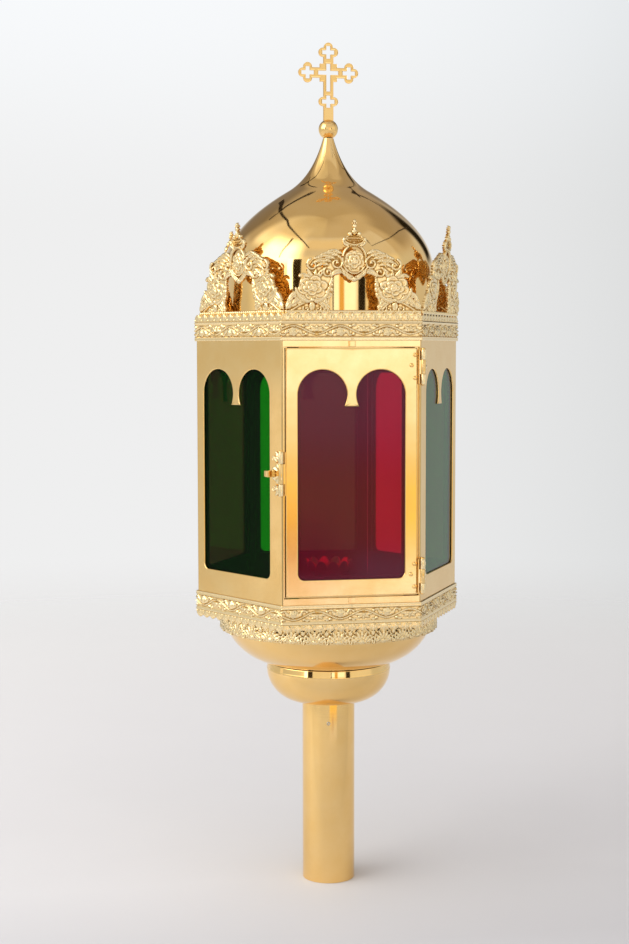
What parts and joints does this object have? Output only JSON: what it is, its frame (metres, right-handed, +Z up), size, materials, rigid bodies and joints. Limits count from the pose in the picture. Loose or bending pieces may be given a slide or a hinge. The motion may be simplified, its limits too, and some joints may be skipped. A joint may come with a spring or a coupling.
{
  "type": "processional lantern",
  "caption": "Six-sided glazed brass lantern with an onion dome, pierced crests, a cross, a hinged door with a hasp, and a socket for a pole.",
  "frame": {"origin": "centre of the pole socket's open foot, on the face that it stands on", "axes": "+Z up along the socket, -Y out of the door, +X to the right of someone who faces the door"},
  "size_m": [0.226, 0.1977, 0.6969],
  "materials": {
    "sheet_brass": "polished gold-plated sheet",
    "spun_brass": "polished gold-plated, spun",
    "cast_brass": "gold-plated casting and embossed strip",
    "steel": "plain turned",
    "red_glass": "coloured through, smooth",
    "green_glass": "coloured through, smooth"
  },
  "bodies": {
    "root": {"back_crest": "cast_brass", "back_glass": "green_glass", "back_glass_frame": "sheet_brass", "back_left_crest": "cast_brass", "back_left_glass": "red_glass", "back_left_glass_frame": "sheet_brass", "back_left_panel": "sheet_brass", "back_panel": "sheet_brass", "back_right_crest": "cast_brass", "back_right_glass": "red_glass", "back_right_glass_frame": "sheet_brass", "back_right_panel": "sheet_brass", "base_bowl": "spun_brass", "candle_cup": "spun_brass", "candle_gallery": "cast_brass", "dome": "spun_brass", "finial_ball": "spun_brass", "finial_cross": "cast_brass", "finial_rod": "steel", "floor_plate": "sheet_brass", "front_crest": "cast_brass", "front_frame": "sheet_brass", "lace_band": "cast_brass", "left_crest": "cast_brass", "left_glass": "green_glass", "left_glass_frame": "sheet_brass", "left_panel": "sheet_brass", "lower_frieze": "cast_brass", "lower_hinge_ornament": "cast_brass", "lower_hinge_pin": "sheet_brass", "pole_socket": "spun_brass", "right_crest": "cast_brass", "right_glass": "green_glass", "right_glass_frame": "sheet_brass", "right_panel": "sheet_brass", "roof_plate": "sheet_brass", "socket_plug": "spun_brass", "socket_screw": "steel", "stem_knop": "spun_brass", "tie_nut": "steel", "tie_rod": "steel", "upper_frieze": "cast_brass", "upper_hinge_ornament": "cast_brass", "upper_hinge_pin": "sheet_brass"},
    "door": {"door_panel": "sheet_brass", "front_glass": "red_glass", "front_glass_frame": "sheet_brass", "upper_hinge_door_leaf": "sheet_brass", "lower_hinge_door_leaf": "sheet_brass", "upper_hinge_rivet_top": "sheet_brass", "upper_hinge_rivet_middle": "sheet_brass", "upper_hinge_rivet_bottom": "sheet_brass", "lower_hinge_rivet_top": "sheet_brass", "lower_hinge_rivet_middle": "sheet_brass", "lower_hinge_rivet_bottom": "sheet_brass", "hasp_door_leaf": "sheet_brass", "hasp_pin": "sheet_brass"},
    "hasp": {"hasp_ornament": "cast_brass", "hasp_knob": "sheet_brass"}
  },
  "joints": [
    {"name": "door_hinge", "type": "hinge", "parent": "root", "child": "door", "pos_m": [0.05633, -0.09756, 0.35], "axis": [0, 0, 1], "range_deg": [0, 120]},
    {"name": "hasp_hinge", "type": "hinge", "parent": "door", "child": "hasp", "pos_m": [-0.05633, -0.09756, 0.351], "axis": [0, 0, 1], "range_deg": [0, 150]}
  ]
}
